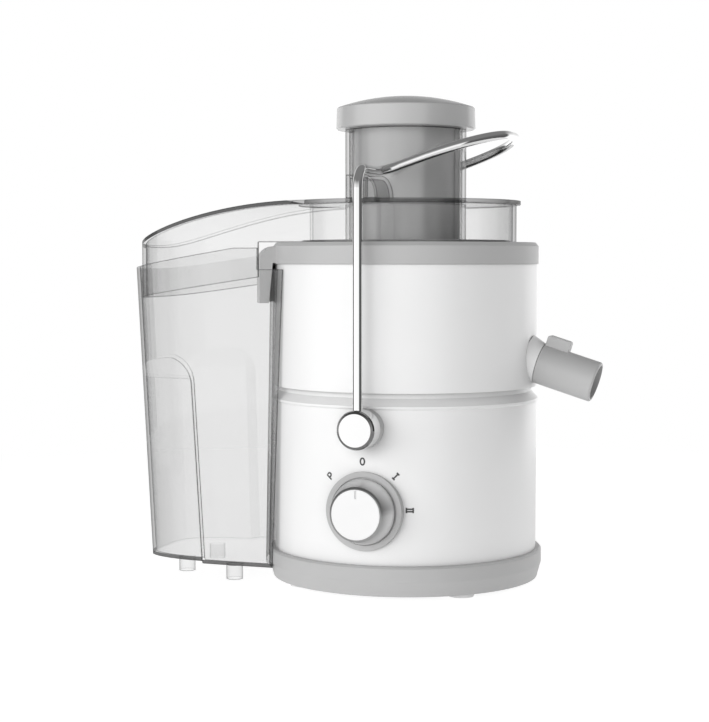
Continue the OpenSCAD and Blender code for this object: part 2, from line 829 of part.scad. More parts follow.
// Turning spout with a thumb tab and its own half disc
module spout_sleeve() {
    color(grey) spout_frame() {
        difference() {
            union() {
                rotate_extrude() polygon(concat([[0, 0], [spout_r, 0]],
                    [for (i = [0 : 4]) [spout_r - sleeve_round * (1 - cos(22.5 * i)),
                        spout_len - sleeve_round * (1 - sin(22.5 * i))]], [[0, spout_len]]));
                translate([0, tab_w / 2, 0]) rotate([90, 0, 0]) linear_extrude(tab_w) polygon(concat(
                    [[3 - spout_r, tab_x], [3 - spout_r, tab_x + tab_l]],
                    [for (i = [0 : 4]) [tab_round * (1 - sin(22.5 * i)) - spout_r - tab_h,
                        tab_x + tab_l - tab_round * (1 - cos(22.5 * i))]],
                    [for (i = [0 : 4]) [tab_round * (1 - cos(22.5 * i)) - spout_r - tab_h,
                        tab_x + tab_round * (1 - sin(22.5 * i))]]));
            }
            translate([0, 0, -1]) cylinder(r = stub_r, h = spout_len + 2);
        }
        translate([0, 0, stub_len + move_gap]) half_gate(stub_r + eps);
    }
}

// Teeth in rings, each one a short wedge that leans into the turn
module grater_teeth() {
    pitch = (grater_r - tooth_margin - tooth_in) / max(1, tooth_rings - 1);
    for (k = [0 : tooth_rings - 1]) around(6 + 3 * k, tooth_in + pitch * k, 11 * k)
        translate([0, 0, strainer_z - eps]) rotate([90, 0, 0])
            linear_extrude(tooth_t, center = true)
                polygon([[-tooth_w / 2, 0], [tooth_w / 2, 0], [0, tooth_h]]);
}

module basket_base() {
    color(steel) difference() {
        union() {
            translate([0, 0, basket_z]) cylinder(r = grater_r, h = disc_t);
            tube(skirt_in + skirt_t, skirt_in, basket_z - skirt_drop, basket_z + eps);
            translate([0, 0, shaft_top - coupling_grip])
                cylinder(r = coupling_r + 2, h = basket_z - shaft_top + coupling_grip + eps);
            grater_teeth();
        }
        translate([0, 0, shaft_top - coupling_grip - 1])
            cylinder(r = coupling_r + seat_gap, h = coupling_grip + 1 + seat_gap);
    }
}

module strainer_cone() {
    color([0.8, 0.8, 0.82]) rotate_extrude() polygon([
        [grater_r, basket_z], [grater_r + mesh_t, basket_z], [strainer_r + mesh_t, strainer_top],
        [strainer_r, strainer_top]]);
}

module basket_rim() {
    color(steel) rotate_extrude() polygon([
        [strainer_r + mesh_t, strainer_top], [strainer_r, strainer_top], [strainer_r, strainer_top + 1],
        [strainer_r + rim_w - 0.6, strainer_top + 1], [strainer_r + rim_w, strainer_top + 0.4],
        [strainer_r + rim_w, strainer_top - rim_h], [strainer_r + mesh_t + 1, strainer_top - rim_h],
        [strainer_r + mesh_t + 0.4, strainer_top - 1]]);
}

// Height of the roof over the bin at a place along X
function roof_z(x) = lid_top - roof_drop * pow(max(0, roof_x - x) / (bin_reach + roof_x), 2);

// Side view of the space under the roof, lowered and shortened by an inset
function roof_outline(far, inset, drop) = concat(
    [[-30, lid_top - inset]],
    [for (i = [0 : roof_steps]) let (x = roof_x - (far + roof_x) * i / roof_steps) [x, roof_z(x) - inset]],
    [[-far, skirt_far_z - drop], [skirt_x, skirt_near_z - drop], [-30, skirt_near_z - drop]]);

module roof_body(inset, drop) {
    far = bin_far(skirt_far_z) - bin_wall - lid_gap;
    half = bin_side(skirt_far_z) - bin_wall - lid_gap;
    intersection() {
        linear_extrude(big) polygon(tongue(far - inset, half - inset));
        side_profile(roof_outline(far + eps, inset, drop), -big / 2, big / 2);
    }
}

// Ramp on the lid that the bail slides up, hollow below
module lock_ear(side, inset) {
    y0 = side > 0 ? chute_r + inset : -ear_out + inset;
    y1 = side > 0 ? ear_out - inset : -chute_r - inset;
    rise = ear_top - lid_top - inset;
    side_profile(concat([[ear_x0 + inset, lid_top - lid_wall], [ear_x0 + inset, lid_top + rise]],
        [for (i = [0 : 8]) let (a = 90 - 90 * i / 8)
            [ear_mid + (ear_x1 - ear_mid - inset) * cos(a), lid_top + rise * sin(a)]],
        [[ear_x1 - inset, lid_top - lid_wall]]), y0, y1);
}

module feed_lid() {
    color(clear) union() {
        difference() {
            union() {
                translate([0, 0, ring_top]) cylinder(r = lid_r, h = lid_h);
                translate([0, 0, lid_top - lid_lip_h]) cylinder(r = lid_r + lid_lip_out, h = lid_lip_h);
                translate([0, 0, lid_top - eps]) cylinder(r = chute_r + chute_wall, h = chute_h + eps);
                difference() {
                    roof_body(0, 0);
                    translate([0, 0, ring_top - big]) cylinder(r = lip_out_r + 1, h = big);
                }
                for (side = [-1, 1]) lock_ear(side, 0);
            }
            translate([0, 0, ring_top - 1]) cylinder(r = lid_r - lid_wall, h = lid_h + 1 - lid_wall);
            roof_body(lid_wall, 1);
            for (side = [-1, 1]) lock_ear(side, ear_wall);
            translate([0, 0, ring_top]) cylinder(r = chute_r, h = big);
        }
        tube(chute_r + chute_wall, chute_r, chute_bottom, chute_top);
    }
}

module pusher_tube() {
    color([0.62, 0.62, 0.63]) difference() {
        union() {
            translate([0, 0, pusher_bottom]) cylinder(r = pusher_r, h = cap_z - pusher_bottom);
            for (turn = [0, 90, 180]) rotate([0, 0, turn])
                translate([pusher_r - 1, -rib_t / 2, pusher_bottom + 4])
                    cube([pusher_rib - pusher_r + 1, rib_t, cap_z - pusher_bottom - 4]);
        }
        translate([0, 0, pusher_bottom + pusher_wall]) cylinder(r = pusher_r - pusher_wall, h = big);
    }
}

module pusher_cap() {
    side_top = cap_z + cap_h;
    dome_r = (pow(cap_r - 1, 2) + dome_h * dome_h) / (2 * dome_h);
    color([0.72, 0.72, 0.73]) difference() {
        union() {
            rotate_extrude() polygon([
                [0, cap_z], [cap_r - 0.8, cap_z], [cap_r, cap_z + 0.8], [cap_r - 0.4, side_top - 0.7],
                [cap_r - 1, side_top], [0, side_top]]);
            intersection() {
                translate([0, 0, side_top - eps]) cylinder(r = cap_r - 1, h = dome_h + 1);
                translate([0, 0, side_top + dome_h - dome_r]) sphere(r = dome_r, $fn = 128);
            }
        }
        translate([0, 0, cap_z - 1]) cylinder(r = pusher_r - pusher_wall, h = cap_h - 1);
    }
}

// Arch-shaped block that narrows with depth, for the head and the side of a grip recess
module grip_arch(side, grow) {
    hull() for (deep = [0, 1]) {
        y = deep > 0 ? bin_half - grip_block : bin_half + 2;
        r = grip_round;
        x = grip_x + (y - bin_half + 3) * grip_lean + grow;
        z = grip_top + grow;
        translate([0, side * y, 0]) side_profile(concat(
            [[-bin_reach - 20, bin_z - 10], [x + grip_flare, bin_z - 10]],
            [for (i = [0 : 8]) let (a = 90 * i / 8) [x - r + r * cos(a), z - r + r * sin(a)]],
            [[-bin_reach - 20, z]]), -eps, eps);
    }
}

// Grip recess: the arch as deep as the drawn-in core of the bin, whose head slopes out to the bin's face
module grip_recess(side, inset) {
    fall_z = grip_top - grip_fall + inset;
    difference() {
        grip_arch(side, inset);
        tapered_tongue(bin_z - 20, fall_z, inset, [grip_d, grip_d]);
        tapered_tongue(fall_z, grip_top + inset + 2, inset, [grip_d, -grip_d * 2 / grip_fall]);
    }
}

module bin_shape(z0, inset) {
    near_floor = bin_near_floor + inset;
    near_top = bin_near_top + inset;
    difference() {
        tapered_tongue(z0, ring_top + 10, inset);
        translate([0, 0, bin_z]) cylinder(r1 = near_floor, r2 = near_top, h = slot_top - bin_z);
        translate([0, 0, bin_z - big + eps]) cylinder(r = near_floor, h = big);
        translate([0, 0, slot_top - eps]) cylinder(r = near_top, h = big);
        for (side = [-1, 1]) grip_recess(side, inset);
    }
}

module pulp_bin() {
    color(clear) difference() {
        union() {
            bin_shape(bin_z, 0);
            for (side = [-1, 1], at = [peg_near, peg_far])
                translate([at[0], side * at[1], 0]) cylinder(d = peg_d, h = bin_z + eps);
        }
        bin_shape(bin_z + bin_wall, bin_wall);
        translate([0, 0, bin_wall_top]) cylinder(r = rim_clear_r, h = big);
        side_profile([[-big, rim_low], [-bin_reach, rim_low], [-lip_out_r, rim_high], [big, rim_high],
            [big, big], [-big, big]], -big / 2, big / 2);
    }
}

base_plate();
base_ring();
rubber_feet();
base_screws();
motor_housing();
cord_gland();
motor_mounts();
lower_bracket();
upper_bracket();
stator_core();
field_coils();
lower_bearing();
upper_bearing();
brush_holders();
carbon_brushes();
shaft_seal();
motor_shaft();
armature_core();
armature_windings();
commutator();
cooling_fan();
drive_coupling();
switch_body();
switch_spindle();
safety_switch();
dial_bezel();
knob();
knob_face();
pivot_bosses();
pivot_pins();
bail_rod();
bail_hub_caps();
collector_shell();
collector_ring();
juice_bowl();
spout_stub();
spout_sleeve();
basket_base();
strainer_cone();
basket_rim();
feed_lid();
pusher_tube();
pusher_cap();
pulp_bin();
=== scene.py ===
"""Looks of the centrifugal juicer: finishes, dial marks, studio and camera round the CAD frame."""

import json
import math

import bpy
from mathutils import Matrix, Vector


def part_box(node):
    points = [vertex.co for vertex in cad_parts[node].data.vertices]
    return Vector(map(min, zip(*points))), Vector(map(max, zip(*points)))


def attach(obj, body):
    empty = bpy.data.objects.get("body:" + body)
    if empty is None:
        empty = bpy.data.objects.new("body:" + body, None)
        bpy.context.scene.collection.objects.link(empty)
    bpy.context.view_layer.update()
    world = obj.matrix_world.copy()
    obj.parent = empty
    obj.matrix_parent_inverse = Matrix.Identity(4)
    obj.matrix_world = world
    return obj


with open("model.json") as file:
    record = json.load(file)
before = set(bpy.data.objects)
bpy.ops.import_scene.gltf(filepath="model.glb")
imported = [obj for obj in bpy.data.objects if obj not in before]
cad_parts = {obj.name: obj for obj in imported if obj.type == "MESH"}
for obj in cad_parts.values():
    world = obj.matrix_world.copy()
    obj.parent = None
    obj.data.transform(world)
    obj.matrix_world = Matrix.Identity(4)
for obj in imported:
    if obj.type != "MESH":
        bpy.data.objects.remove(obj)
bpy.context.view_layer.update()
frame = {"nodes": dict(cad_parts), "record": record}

MM = 0.001

# Camera, worked out from the ellipses of the rings in the photograph
FRAME_W, FRAME_H = 709, 722
FOCAL_PX = 1700
AXIS_X_PX, HORIZON_Y_PX = 405.5, 260
CAMERA_DISTANCE = 1.133
CAMERA_HEIGHT = 0.212
CAMERA_AZIMUTH = math.radians(17)
SENSOR_WIDTH_MM = 36
CLIP_START = 0.05

# Bottom and top of the bin's floor plate and of the lid's plate, where the clear walls get a
# painted dark line
BIN_FLOOR = (9.5 * MM, 12.5 * MM)
LID_PLATE = (248.2 * MM, 251.0 * MM)

# The lid's plate falls over the bin: from this X, and by this much at the bin's far end
ROOF_START = -50.0 * MM
ROOF_FALL = 30.0 * MM

# The faces of the lid's lip, which get a darker clear as painted shade: this near its largest
# radius, lower than this, and this upright
LIP_DEPTH, LIP_HEIGHT, LIP_SLOPE = 1 * MM, 5.5 * MM, 0.35

# The bevels of the hub caps, by how far their faces turn to the Y axis; they get a darker chrome as
# a painted dark reflection
CAP_PAINTED_BEVEL = (0.3, 0.96)

# Surfaces: scales of their clouds of tone and of the grain on plastic, metal and turned metal,
# depth of that grain, reach of the painted shade in recesses, angle of an edge that is kept sharp
CLOUD_SCALE, GRAIN_SCALE = 14, 2200
METAL_SCALE, TURNED_SCALE = 600, 900
GRAIN_DEPTH = 0.1 * MM
PAINTED_SHADE_REACH = 12 * MM
CREASE_ANGLE = math.radians(28)

# Clear plastic. A wall counts for more the more it is seen on edge, up to a limit, and for less
# behind others and in the light that it passes on.
EDGE_ON_LIMIT = 0.06
FAR_WALL_FADE = 0.65
LIT_WALL_FADE = 0.7
# Its edge lines, painted dark for the refraction there: where they start and are full, as the
# cosine between rounded and true normal
EDGE_BEND = (0.99, 0.9)
FAR_LINE_LEVEL = 0.98
# Its plates seen on edge, a painted dark line: how dark, and how this ends with the surfaces passed
# before
PLATE_DARKNESS = 0.9
PLATE_REACH, PLATE_FADE = 1.2, 0.5
# Its own mirror image
CLEAR_ROUGHNESS = 0.04
SHEEN_MOST, SHEEN_POWER = 0.3, 3.0

# Levels of light, where 1 is white, and how fast they change with height in the sky
AMBIENT_SIDE, AMBIENT_TOP, AMBIENT_RISE = 0.66, 0.15, 1.6
KEY_WATTS, KEY_PLACE, KEY_SIZE = 28.0, (-0.75, -1.85, 0.62), (2.2, 1.2)
RIM_WATTS, RIM_PLACE, RIM_SIZE = 12.0, (1.13, 1.13, 0.65), (1.0, 1.2)
LAMP_TARGET = (0, 0, 0.15)

# What shiny things mirror, by world azimuth in degrees: the level holds up to the next entry
MIRRORED_ROUND = ((-180, 0.12), (-165, 1.25), (-112, 1.06), (-38, 0.10), (54, 1.2), (156, 0.12))
MIRRORED_TOP, MIRRORED_RISE = 0.2, 1.8
SECTOR_BLUR = 0.012

# The table: a disc that glows, with one level for the camera and one for the light it gives
TABLE_RADIUS, TABLE_SIDES = 0.8, 36
TABLE_SEEN_GLOW, TABLE_SEEN_COLOUR = 0.855, 0.36
TABLE_GLOW, TABLE_COLOUR, TABLE_ROUGHNESS = 0.32, 0.8, 0.9

# Printed marks round the knob: their ring's radius and offset, their size, stroke and relief
MARK_RING = 29.9 * MM
MARK_ASIDE, MARK_ABOVE = -1.2 * MM, 1.15 * MM
MARK_HEIGHT, MARK_WIDTH = 4.2 * MM, 2.7 * MM
MARK_STROKE, MARK_RELIEF, MARK_LIFT = 0.9 * MM, 0.12 * MM, 0.02 * MM
MARK_ANGLES = {"mark_p": 49, "mark_zero": 0, "mark_one": -45, "mark_two": -90}


def grey(value):
    """A grey of one level."""
    return (value, value, value)


def new_material(name):
    """A node material with its Principled shader."""
    material = bpy.data.materials.new(name)
    material.use_nodes = True
    return material, material.node_tree, material.node_tree.nodes["Principled BSDF"]


def add_node(tree, kind, **values):
    """A node with its input sockets or its own settings set by name."""
    node = tree.nodes.new(kind)
    for key, value in values.items():
        if key in node.inputs:
            node.inputs[key].default_value = value
        else:
            setattr(node, key, value)
    return node


def feed(tree, socket, value):
    """Sets a socket to a number, or links another socket to it."""
    if isinstance(value, (int, float)):
        socket.default_value = value
    else:
        tree.links.new(value, socket)


def math_node(tree, operation, first, second=None, clamp=False):
    """A Math node whose inputs are numbers or sockets."""
    node = add_node(tree, "ShaderNodeMath", operation=operation, use_clamp=clamp)
    feed(tree, node.inputs[0], first)
    if second is not None:
        feed(tree, node.inputs[1], second)
    return node.outputs[0]


def product(tree, first, *others):
    """All the values multiplied in turn."""
    for value in others:
        first = math_node(tree, "MULTIPLY", first, value)
    return first


def one_less(tree, value, clamp=False):
    """1 less the value."""
    return math_node(tree, "SUBTRACT", 1.0, value, clamp=clamp)


def mix_numbers(tree, share, first, second):
    """One number blended into another, each of them a number or a socket."""
    node = add_node(tree, "ShaderNodeMix", data_type="FLOAT")
    for i, value in ((0, share), (2, first), (3, second)):
        feed(tree, node.inputs[i], value)
    return node.outputs[0]


def map_range(tree, value, start, end, low=0.0, high=1.0):
    """A value brought from one range into another, with its ends held."""
    node = add_node(tree, "ShaderNodeMapRange")
    for name, number in (("From Min", start), ("From Max", end), ("To Min", low), ("To Max", high)):
        node.inputs[name].default_value = number
    tree.links.new(value, node.inputs["Value"])
    return node.outputs["Result"]


def split_xyz(tree, vector):
    """The X, Y and Z of a vector."""
    node = add_node(tree, "ShaderNodeSeparateXYZ")
    tree.links.new(vector, node.inputs[0])
    return node.outputs


def ramp_between(tree, factor, low, high, span=(0.3, 0.7)):
    """A colour that goes from one to another over a span of the factor."""
    ramp = add_node(tree, "ShaderNodeValToRGB")
    for stop, place, colour in zip(ramp.color_ramp.elements, span, (low, high)):
        stop.position = place
        stop.color = (*colour, 1)
    tree.links.new(factor, ramp.inputs["Fac"])
    return ramp.outputs["Color"]


def object_noise(tree, scale, detail=3.0):
    """Noise fixed to the object's own metres."""
    coords = add_node(tree, "ShaderNodeTexCoord")
    noise = add_node(tree, "ShaderNodeTexNoise", Scale=scale, Detail=detail)
    tree.links.new(coords.outputs["Object"], noise.inputs["Vector"])
    return noise


def drawn_noise(tree, scale, stretch, detail=4.0):
    """Noise fixed to the object's own metres and drawn out along an axis."""
    coords = add_node(tree, "ShaderNodeTexCoord")
    mapping = add_node(tree, "ShaderNodeMapping", Scale=stretch)
    noise = add_node(tree, "ShaderNodeTexNoise", Scale=scale, Detail=detail)
    tree.links.new(coords.outputs["Object"], mapping.inputs["Vector"])
    tree.links.new(mapping.outputs["Vector"], noise.inputs["Vector"])
    return noise


def bumped(tree, shader, noise, strength, edge):
    """A fine bump on top of a softened edge."""
    bump = add_node(tree, "ShaderNodeBump", Strength=strength, Distance=GRAIN_DEPTH)
    tree.links.new(noise.outputs["Fac"], bump.inputs["Height"])
    if edge > 0:
        bevel = add_node(tree, "ShaderNodeBevel", samples=6, Radius=edge)
        tree.links.new(bevel.outputs["Normal"], bump.inputs["Normal"])
    tree.links.new(bump.outputs["Normal"], shader.inputs["Normal"])


def painted_recess_shade(tree, colour, strength):
    """Painted shade: the colour darkened where little sky is open, in recesses and between parts.
    """
    open_sky = add_node(tree, "ShaderNodeAmbientOcclusion", samples=8, Distance=PAINTED_SHADE_REACH)
    tone = add_node(tree, "ShaderNodeMix", data_type="RGBA", blend_type="MULTIPLY")
    tone.inputs[0].default_value = strength
    tree.links.new(colour, tone.inputs[6])
    tree.links.new(open_sky.outputs["AO"], tone.inputs[7])
    return tone.outputs[2]


def moulded(name, low, high, roughness, strength=0.05, edge=0.6 * MM, index=1.5, painted_shade=0.0):
    """Moulded plastic: nearly even colour, fine grain, soft edges, and painted shade in recesses.
    """
    material, tree, shader = new_material(name)
    colour = ramp_between(tree, object_noise(tree, CLOUD_SCALE).outputs["Fac"], low, high)
    if painted_shade > 0:
        colour = painted_recess_shade(tree, colour, painted_shade)
    tree.links.new(colour, shader.inputs["Base Color"])
    shader.inputs["Roughness"].default_value = roughness
    shader.inputs["IOR"].default_value = index
    bumped(tree, shader, object_noise(tree, GRAIN_SCALE), strength, edge)
    return material


def polished(name, low, high):
    """The pusher's plastic, which mirrors more than the rest."""
    return moulded(name, low, high, 0.22, strength=0.03, index=1.9)


def make_metallic(tree, shader, colour, roughness):
    """Makes a shader a metal, its colour a socket."""
    tree.links.new(colour, shader.inputs["Base Color"])
    shader.inputs["Metallic"].default_value = 1.0
    shader.inputs["Roughness"].default_value = roughness


def metal(name, low, high, roughness, stretch=(1, 1, 1), strength=0.03, edge=0.4 * MM):
    """Metal whose grain can be drawn out along an axis."""
    material, tree, shader = new_material(name)
    noise = drawn_noise(tree, METAL_SCALE, stretch)
    make_metallic(tree, shader, ramp_between(tree, noise.outputs["Fac"], low, high), roughness)
    bumped(tree, shader, noise, strength, edge)
    return material


def turned_metal_painted_reflection(name, front, back, roughness):
    """Satin metal turned about the node's Y axis, its colour darker towards its front: a painted
    reflection of the dark it mirrors there.
    """
    material, tree, shader = new_material(name)
    along = split_xyz(tree, add_node(tree, "ShaderNodeTexCoord").outputs["Generated"])["Y"]
    # Painted reflection: the colour runs from dark at the front to pale at the back along Y.
    make_metallic(tree, shader, ramp_between(tree, along, front, back, (0.1, 0.85)), roughness)
    bumped(tree, shader, drawn_noise(tree, TURNED_SCALE, (1, 0.02, 1)), 0.06, 0.3 * MM)
    return material


def walls_met(tree, facing, path, upright, behind, slope, flat):
    """How many walls' worth of plastic a ray meets at a surface."""
    square_on = math_node(tree, "ADD", one_less(tree, facing), EDGE_ON_LIMIT)
    slant = math_node(tree, "POWER", square_on, slope)
    share = math_node(tree, "MAXIMUM", upright, flat)
    near = one_less(tree, product(tree, behind, FAR_WALL_FADE))
    lighting = math_node(tree, "MAXIMUM", path["Is Shadow Ray"], path["Is Diffuse Ray"])
    unlit = one_less(tree, product(tree, lighting, LIT_WALL_FADE))
    return product(tree, slant, share, near, unlit)


def painted_edge_line(tree, normal, width, level):
    """1 on a face, and the level along its edges: a painted dark line for the refraction there."""
    rounded = add_node(tree, "ShaderNodeBevel", samples=4, Radius=width)
    bent = add_node(tree, "ShaderNodeVectorMath", operation="DOT_PRODUCT")
    tree.links.new(rounded.outputs["Normal"], bent.inputs[0])
    tree.links.new(normal, bent.inputs[1])
    return map_range(tree, bent.outputs["Value"], *EDGE_BEND, 1.0, level)


def roof_fall(tree, along):
    """How far the lid's plate has fallen at a place along X."""
    length = ROOF_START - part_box("pulp_bin")[0].x
    past = math_node(tree, "MAXIMUM", math_node(tree, "SUBTRACT", ROOF_START, along), 0.0)
    part = math_node(tree, "POWER", math_node(tree, "DIVIDE", past, length), 2.0)
    return product(tree, part, ROOF_FALL)


def painted_plate_line(tree, path, upright, plate, falls):
    """1 on a wall, and darker where a plate meets it between two heights: a painted dark line."""
    place = split_xyz(tree, add_node(tree, "ShaderNodeTexCoord").outputs["Object"])
    height = place["Z"]
    if falls:
        height = math_node(tree, "ADD", height, roof_fall(tree, place["X"]))
    low, high = plate
    away = math_node(tree, "ABSOLUTE", math_node(tree, "SUBTRACT", height, (low + high) / 2))
    inside = math_node(tree, "LESS_THAN", away, (high - low) / 2)
    passed = product(tree, path["Transparent Depth"], PLATE_FADE)
    first = math_node(tree, "SUBTRACT", PLATE_REACH, passed, clamp=True)
    steep = math_node(tree, "POWER", upright, 2.0)
    return one_less(tree, product(tree, inside, first, steep, PLATE_DARKNESS))


def clear_sheen(tree, facing, path, backfacing, gloss):
    """Share of a clear surface's own mirror image: on its front, and not in the light passed on."""
    rise = product(tree, math_node(tree, "POWER", facing, SHEEN_POWER), SHEEN_MOST - gloss)
    hidden = math_node(tree, "MAXIMUM", path["Is Shadow Ray"], backfacing)
    return product(tree, math_node(tree, "ADD", rise, gloss), one_less(tree, hidden))


def mix_into_output(tree, share, first, second):
    """The material's surface as a mix of two shaders."""
    mix = add_node(tree, "ShaderNodeMixShader")
    for i, socket in enumerate((share, first, second)):
        tree.links.new(socket, mix.inputs[i])
    tree.links.new(mix.outputs["Shader"], tree.nodes["Material Output"].inputs["Surface"])


def clear_plastic(name, through_level=0.915, slope=-1.8, flat=0.0, edge_level=0.12,
                  edge=1.3 * MM, gloss=0.05, fade=(0.0, 1.6), plate=None, falls=False):
    """Clear moulded wall seen straight through: grey where it is seen on edge, and painted grey
    lines along its edges for the refraction there.

    Level faces are greyed by the share flat. A plate that ends in the wall between two heights
    shows there as a painted grey line, which falls as the roof does if asked.
    of surfaces before them."""
    material, tree, shader = new_material(name)
    tree.nodes.remove(shader)
    geometry = add_node(tree, "ShaderNodeNewGeometry").outputs
    path = add_node(tree, "ShaderNodeLightPath").outputs
    facing = add_node(tree, "ShaderNodeLayerWeight", Blend=0.5).outputs["Facing"]
    level_face = math_node(tree, "ABSOLUTE", split_xyz(tree, geometry["Normal"])["Z"])
    upright = one_less(tree, level_face, clamp=True)
    behind = map_range(tree, path["Transparent Depth"], *fade)
    walls = walls_met(tree, facing, path, upright, behind, slope, flat)
    line = painted_edge_line(tree, geometry["Normal"], edge, edge_level)
    level = product(tree, math_node(tree, "POWER", through_level, walls),
                    mix_numbers(tree, behind, line, FAR_LINE_LEVEL))
    if plate:
        level = product(tree, level, painted_plate_line(tree, path, upright, plate, falls))
    through = add_node(tree, "ShaderNodeBsdfTransparent")
    tree.links.new(level, through.inputs["Color"])
    mirror = add_node(tree, "ShaderNodeBsdfGlossy", Color=(1, 1, 1, 1), Roughness=CLEAR_ROUGHNESS)
    sheen = clear_sheen(tree, facing, path, geometry["Backfacing"], gloss)
    mix_into_output(tree, sheen, through.outputs["BSDF"], mirror.outputs["BSDF"])
    return material


def make_materials():
    """One finish for each material slot of the record."""
    return {
        # White plastic gets painted shade in its recesses and groove.
        "white_plastic": moulded("white_plastic", grey(0.90), grey(0.92), 0.28, strength=0.03,
                                 painted_shade=0.5),
        "grey_plastic": moulded("grey_plastic", grey(0.50), grey(0.52), 0.4, strength=0.06),
        "dark_grey_plastic": moulded("dark_grey_plastic", grey(0.16), grey(0.18), 0.45),
        "pusher_plastic": polished("pusher_plastic", grey(0.44), grey(0.46)),
        "clear_plastic": clear_plastic("clear_plastic", plate=BIN_FLOOR),
        "chrome": metal("chrome", grey(0.92), grey(0.92), 0.05, strength=0.0, edge=0.0),
        "satin_metal": turned_metal_painted_reflection("satin_metal", grey(0.42), grey(0.9), 0.34),
        "steel": metal("steel", grey(0.6), grey(0.68), 0.24, stretch=(1, 1, 0.05)),
        "brass": metal("brass", (0.6, 0.42, 0.16), (0.7, 0.5, 0.22), 0.25),
        "copper": metal("copper", (0.6, 0.26, 0.12), (0.75, 0.36, 0.18), 0.3, stretch=(1, 1, 6)),
        "lamination": metal("lamination", grey(0.25), grey(0.34), 0.4, stretch=(0.05, 0.05, 3)),
        "pale_rubber": moulded("pale_rubber", grey(0.80), grey(0.84), 0.7, strength=0.2),
        "black_rubber": moulded("black_rubber", grey(0.02), grey(0.03), 0.75, strength=0.2),
        "black_plastic": moulded("black_plastic", grey(0.03), grey(0.045), 0.4),
    }


def dress(name, *materials):
    """Gives a CAD node its finishes, with the first one on all its faces."""
    mesh = frame["nodes"][name].data
    mesh.materials.clear()
    for material in materials:
        mesh.materials.append(material)
    return mesh


def dress_lid():
    """The lid's own clear plastic, and a darker copy of it on its lip: painted shade where the lip
    is seen on edge.
    """
    clear = clear_plastic("clear_lid", through_level=0.96, flat=0.1, edge_level=0.08, edge=1.4 * MM,
                          fade=(2.2, 4.2), plate=LID_PLATE, falls=True)
    # Painted shade: a darker copy of the clear plastic for the lip seen on edge.
    lip = clear_plastic("clear_lid_lip_painted_dark", through_level=0.64, edge_level=0.7)
    lid = dress("feed_lid", clear, lip)
    lip_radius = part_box("feed_lid")[1].x - LIP_DEPTH
    for face in lid.polygons:
        heights = [lid.vertices[v].co.z for v in face.vertices]
        on_rim = math.hypot(face.center.x, face.center.y) > lip_radius
        upright = abs(face.normal.z) < LIP_SLOPE
        if on_rim and upright and max(heights) - min(heights) < LIP_HEIGHT:
            face.material_index = 1


def dress_caps(chrome):
    """Chrome hub caps whose bevels get a darker chrome: a painted reflection of a dark part of the
    room.
    """
    # Painted reflection: a darker copy of the chrome for the bevels.
    bevel = metal("chrome_bevel_painted_dark", grey(0.22), grey(0.24), 0.12, strength=0.0, edge=0.0)
    least, most = CAP_PAINTED_BEVEL
    for face in dress("bail_hub_caps", chrome, bevel).polygons:
        if least < abs(face.normal.y) < most:
            face.material_index = 1


def dress_nodes():
    """Every CAD node in the finish of its slot, then the few that have one of their own."""
    materials = make_materials()
    for part in frame["record"]["subparts"]:
        dress(part["node"], materials[part["material_slot"]])
    dress_lid()
    dress_caps(materials["chrome"])
    dress("basket_rim", moulded("rim_plastic", grey(0.26), grey(0.30), 0.4))
    dress("pusher_cap", polished("cap_plastic", grey(0.50), grey(0.52)))


def make_camera():
    """Camera at the photograph's place, with the spin axis and horizon where it shows them."""
    data = bpy.data.cameras.new("camera")
    camera = bpy.data.objects.new("camera", data)
    bpy.context.scene.collection.objects.link(camera)
    data.sensor_width = SENSOR_WIDTH_MM
    data.lens = data.sensor_width * FOCAL_PX / max(FRAME_W, FRAME_H)
    data.clip_start = CLIP_START
    forward = Vector((-math.sin(CAMERA_AZIMUTH), math.cos(CAMERA_AZIMUTH), 0))
    right = Vector((math.cos(CAMERA_AZIMUTH), math.sin(CAMERA_AZIMUTH), 0))
    aside = (AXIS_X_PX - FRAME_W / 2) / FOCAL_PX
    down = (FRAME_H / 2 - HORIZON_Y_PX) / FOCAL_PX
    look = forward - aside * right - Vector((0, 0, down))
    camera.location = -CAMERA_DISTANCE * forward + Vector((0, 0, CAMERA_HEIGHT))
    camera.rotation_mode = "QUATERNION"
    camera.rotation_quaternion = look.to_track_quat("-Z", "Y")
    bpy.context.scene.camera = camera


def seen_by_camera(tree):
    """1 for what the camera sees, straight or through clear things."""
    path = add_node(tree, "ShaderNodeLightPath").outputs
    return math_node(tree, "MAXIMUM", path["Is Camera Ray"], path["Is Transmission Ray"])


def mirrored_round(tree, direction):
    """The level that shiny things mirror in a direction, by its azimuth."""
    around = add_node(tree, "ShaderNodeTexGradient", gradient_type="RADIAL")
    ramp = add_node(tree, "ShaderNodeValToRGB")
    tree.links.new(direction, around.inputs["Vector"])
    tree.links.new(around.outputs["Fac"], ramp.inputs["Fac"])
    stops = ramp.color_ramp.elements
    stops.remove(stops[1])
    stops[0].position = 0
    level = MIRRORED_ROUND[0][1]
    stops[0].color = (*grey(level), 1)
    for azimuth, next_level in MIRRORED_ROUND[1:]:
        place = azimuth / 360 + 0.5
        stops.new(place - SECTOR_BLUR).color = (*grey(level), 1)
        stops.new(place + SECTOR_BLUR).color = (*grey(next_level), 1)
        level = next_level
    return ramp.outputs["Color"]


